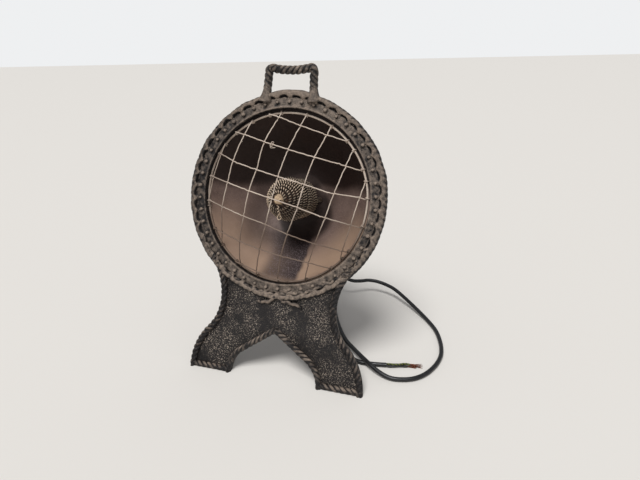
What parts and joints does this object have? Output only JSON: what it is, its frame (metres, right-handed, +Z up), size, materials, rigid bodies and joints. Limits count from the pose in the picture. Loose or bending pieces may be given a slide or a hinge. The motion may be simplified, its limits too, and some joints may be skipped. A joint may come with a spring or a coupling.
{
  "type": "electric bowl heater",
  "caption": "Antique electric bowl heater: cast rope-edged front on splayed legs, spun copper bowl, wound beehive element, domed wire guard, carry handle and a folding rear leg.",
  "frame": {"origin": "on the table under the middle of the heater, cord left out: centred across the width and from front to back, at the height of the soles", "axes": "+Z up; +Y to the back, away from the side that throws the heat; +X to the right of a viewer in front"},
  "size_m": [0.3707, 0.2943, 0.4145],
  "materials": {
    "cast_frame": "worn black japanning over rust-brown grime",
    "bowl": "copper, dulled and grimy",
    "screws": "dull, lightly rusted",
    "guard_wire": "dull, dusty",
    "fireclay": "unglazed, browned by heat",
    "resistance_wire": "oxidised",
    "brass": "tarnished",
    "moulding": "dark insulating compound",
    "porcelain": "brown glaze, dirty",
    "cover": "worn black paint",
    "rubber": "matt",
    "sheath": "satin black PVC",
    "live_core": "satin",
    "neutral_core": "satin",
    "earth_core": "satin",
    "copper": "bare stranded copper, browned"
  },
  "bodies": {
    "heater": {"front_frame": "cast_frame", "reflector_bowl": "bowl", "bowl_screws": "screws", "guard_hoop": "guard_wire", "guard_upright_wires": "guard_wire", "guard_cross_wires": "guard_wire", "element_former": "fireclay", "element_coil": "resistance_wire", "element_shell": "brass", "shell_insulator": "moulding", "element_contact": "brass", "lampholder": "porcelain", "holder_shell": "brass", "holder_spring": "brass", "holder_screws": "screws", "holder_nuts": "screws", "cover_pillars": "screws", "rear_cover": "cover", "cover_screws": "screws", "terminal_screws": "brass", "live_lead": "live_core", "neutral_lead": "neutral_core", "earth_lead": "earth_core", "cord_bush": "rubber", "power_cord": "sheath", "cord_cores": "earth_core", "core_strands": "copper", "leg_bracket": "cast_frame", "bracket_screws": "screws", "hinge_pin": "screws", "pin_washer": "screws", "stop_pin": "screws"},
    "rear_leg": {"rear_leg": "cast_frame"}
  },
  "joints": [
    {"name": "rear_leg_hinge", "type": "hinge", "parent": "heater", "child": "rear_leg", "pos_m": [0, -0.05758, 0.09149], "axis": [-1, 0, 0], "range_deg": [0, 58]}
  ]
}
